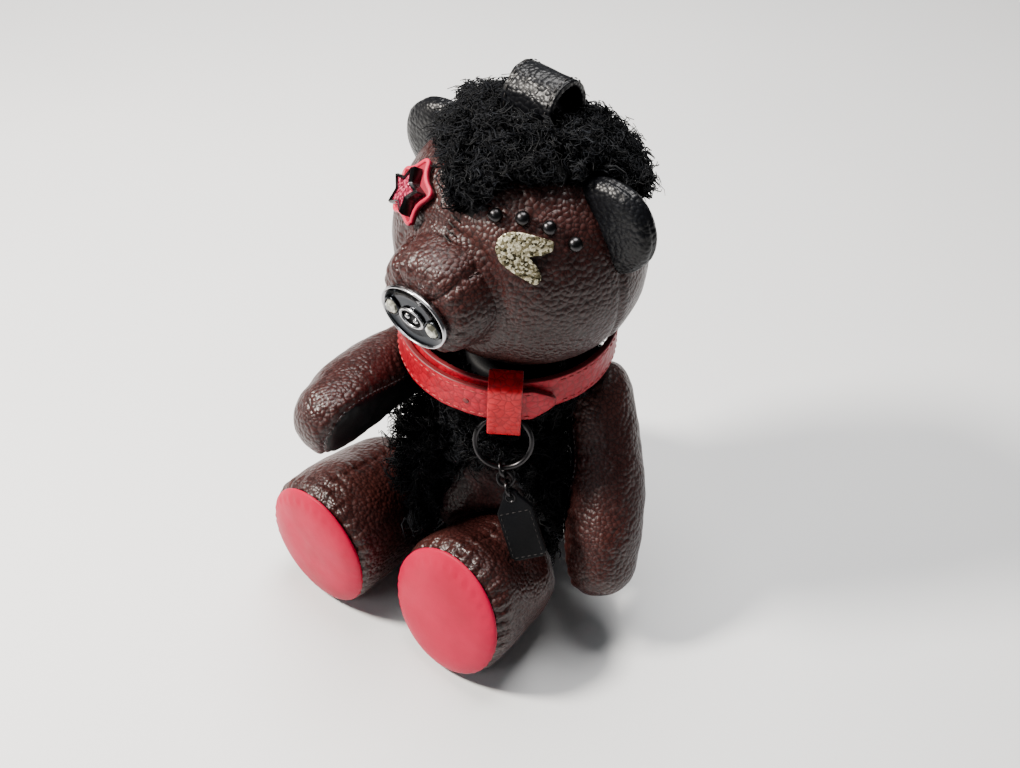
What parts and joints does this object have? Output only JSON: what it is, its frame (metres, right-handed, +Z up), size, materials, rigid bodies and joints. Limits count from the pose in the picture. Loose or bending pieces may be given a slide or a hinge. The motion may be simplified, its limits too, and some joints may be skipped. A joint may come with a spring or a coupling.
{
  "type": "jointed leather bear bag charm",
  "caption": "Small seated stuffed leather bear with a hang loop, turning head and limbs, shearling trim, buckled collar with ring and tag.",
  "frame": {"origin": "centre of the flat seat under the torso, on the surface it sits on", "axes": "+Z up, -Y the way the face looks, +X to the bear's own left"},
  "size_m": [0.0662, 0.0677, 0.1062],
  "materials": {
    "leather_brown": "grained, semi-gloss",
    "leather_black": "smooth, glossy",
    "leather_sole": "smooth, satin",
    "leather_red": "grained, satin, darker painted edges",
    "shearling": "curled pile",
    "filling": "loose fibre, packed",
    "disc": "pressed fibreboard, plain",
    "steel": "polished",
    "gunmetal": "dark plated, polished",
    "crystal": "faceted, foil backed",
    "patch_pink": "smooth, satin",
    "glitter_pink": "fine glitter",
    "glitter_gold": "fine glitter"
  },
  "bodies": {
    "torso": {"torso_skin": "leather_brown", "torso_filling": "filling", "chest_shearling": "shearling", "neck_body_disc": "disc", "neck_pin": "steel", "shoulder_left_body_disc": "disc", "shoulder_left_pin": "steel", "shoulder_right_body_disc": "disc", "shoulder_right_pin": "steel", "hip_left_body_disc": "disc", "hip_left_pin": "steel", "hip_right_body_disc": "disc", "hip_right_pin": "steel"},
    "head": {"head_skin": "leather_brown", "head_filling": "filling", "ear_left": "leather_black", "ear_right": "leather_black", "snout": "leather_brown", "nose_plate": "steel", "nose_crystal_left": "crystal", "nose_crystal_right": "crystal", "nose_eyelet": "steel", "star_patch": "patch_pink", "star_stud": "gunmetal", "star_inlay": "glitter_pink", "wink_patch": "glitter_gold", "brow_stud_1": "gunmetal", "brow_stud_2": "gunmetal", "brow_stud_3": "gunmetal", "brow_stud_4": "gunmetal", "hair": "shearling", "hang_loop": "leather_black", "neck_limb_disc": "disc"},
    "arm_left": {"arm_skin_left": "leather_brown", "arm_filling_left": "filling", "shoulder_left_limb_disc": "disc"},
    "arm_right": {"arm_skin_right": "leather_brown", "arm_filling_right": "filling", "shoulder_right_limb_disc": "disc"},
    "leg_left": {"leg_skin_left": "leather_brown", "leg_filling_left": "filling", "sole_left": "leather_sole", "hip_left_limb_disc": "disc"},
    "leg_right": {"leg_skin_right": "leather_brown", "leg_filling_right": "filling", "sole_right": "leather_sole", "hip_right_limb_disc": "disc"},
    "collar": {"collar_strap": "leather_red", "collar_tip": "leather_red", "buckle_frame": "steel", "keeper": "leather_red"},
    "prong": {"buckle_prong": "steel"},
    "ring": {"charm_ring": "gunmetal"},
    "link_1": {"tag_link_1": "gunmetal"},
    "link_2": {"tag_link_2": "gunmetal"},
    "link_3": {"tag_link_3": "gunmetal"},
    "tag": {"tag": "leather_black"}
  },
  "joints": [
    {"name": "neck_swivel", "type": "hinge", "parent": "torso", "child": "head", "pos_m": [0, 0, 0.0516], "axis": [0, 0, 1], "range_deg": [-20, 40]},
    {"name": "shoulder_left_swing", "type": "hinge", "parent": "torso", "child": "arm_left", "pos_m": [0.01087, 0.00311, 0.0404], "axis": [-0.8203, -0.5327, -0.2079], "range_deg": [-14, 60]},
    {"name": "shoulder_right_swing", "type": "hinge", "parent": "torso", "child": "arm_right", "pos_m": [-0.01062, -0.00387, 0.0404], "axis": [-0.9768, -0.0512, 0.2079], "range_deg": [-22, 1]},
    {"name": "hip_left_turn", "type": "hinge", "parent": "torso", "child": "leg_left", "pos_m": [0.0147, -0.0126, 0.0134], "axis": [0, -1, 0], "range_deg": [-20, 20]},
    {"name": "hip_right_turn", "type": "hinge", "parent": "torso", "child": "leg_right", "pos_m": [-0.0147, -0.0126, 0.0134], "axis": [0, -1, 0], "range_deg": [-20, 20]},
    {"name": "collar_swivel", "type": "hinge", "parent": "torso", "child": "collar", "pos_m": [0, -0.0004, 0.0567], "axis": [0, 0, 1], "range_deg": [-1, 6]},
    {"name": "prong_swing", "type": "hinge", "parent": "collar", "child": "prong", "pos_m": [-0.02237, -0.00708, 0.0563], "axis": [0, 0, -1], "range_deg": [0, 40]},
    {"name": "ring_swing", "type": "hinge", "parent": "collar", "child": "ring", "pos_m": [0.01162, -0.01581, 0.05145], "axis": [-0.7986, -0.6018, 0], "range_deg": [-1, 15]},
    {"name": "link_1_swing", "type": "hinge", "parent": "ring", "child": "link_1", "pos_m": [0.01392, -0.01886, 0.04199], "axis": [0.7281, 0.5788, 0.3673], "range_deg": [-8, 1]},
    {"name": "link_2_swing", "type": "hinge", "parent": "link_1", "child": "link_2", "pos_m": [0.0149, -0.0192, 0.04057], "axis": [0.3987, -0.7934, 0.4599], "range_deg": [-1, 4]},
    {"name": "link_3_swing", "type": "hinge", "parent": "link_2", "child": "link_3", "pos_m": [0.01597, -0.01956, 0.03902], "axis": [0.7281, 0.5788, 0.3673], "range_deg": [-8, 1]},
    {"name": "tag_swing", "type": "hinge", "parent": "link_3", "child": "tag", "pos_m": [0.01704, -0.01992, 0.03746], "axis": [0.3987, -0.7934, 0.4599], "range_deg": [-1, 4]}
  ]
}
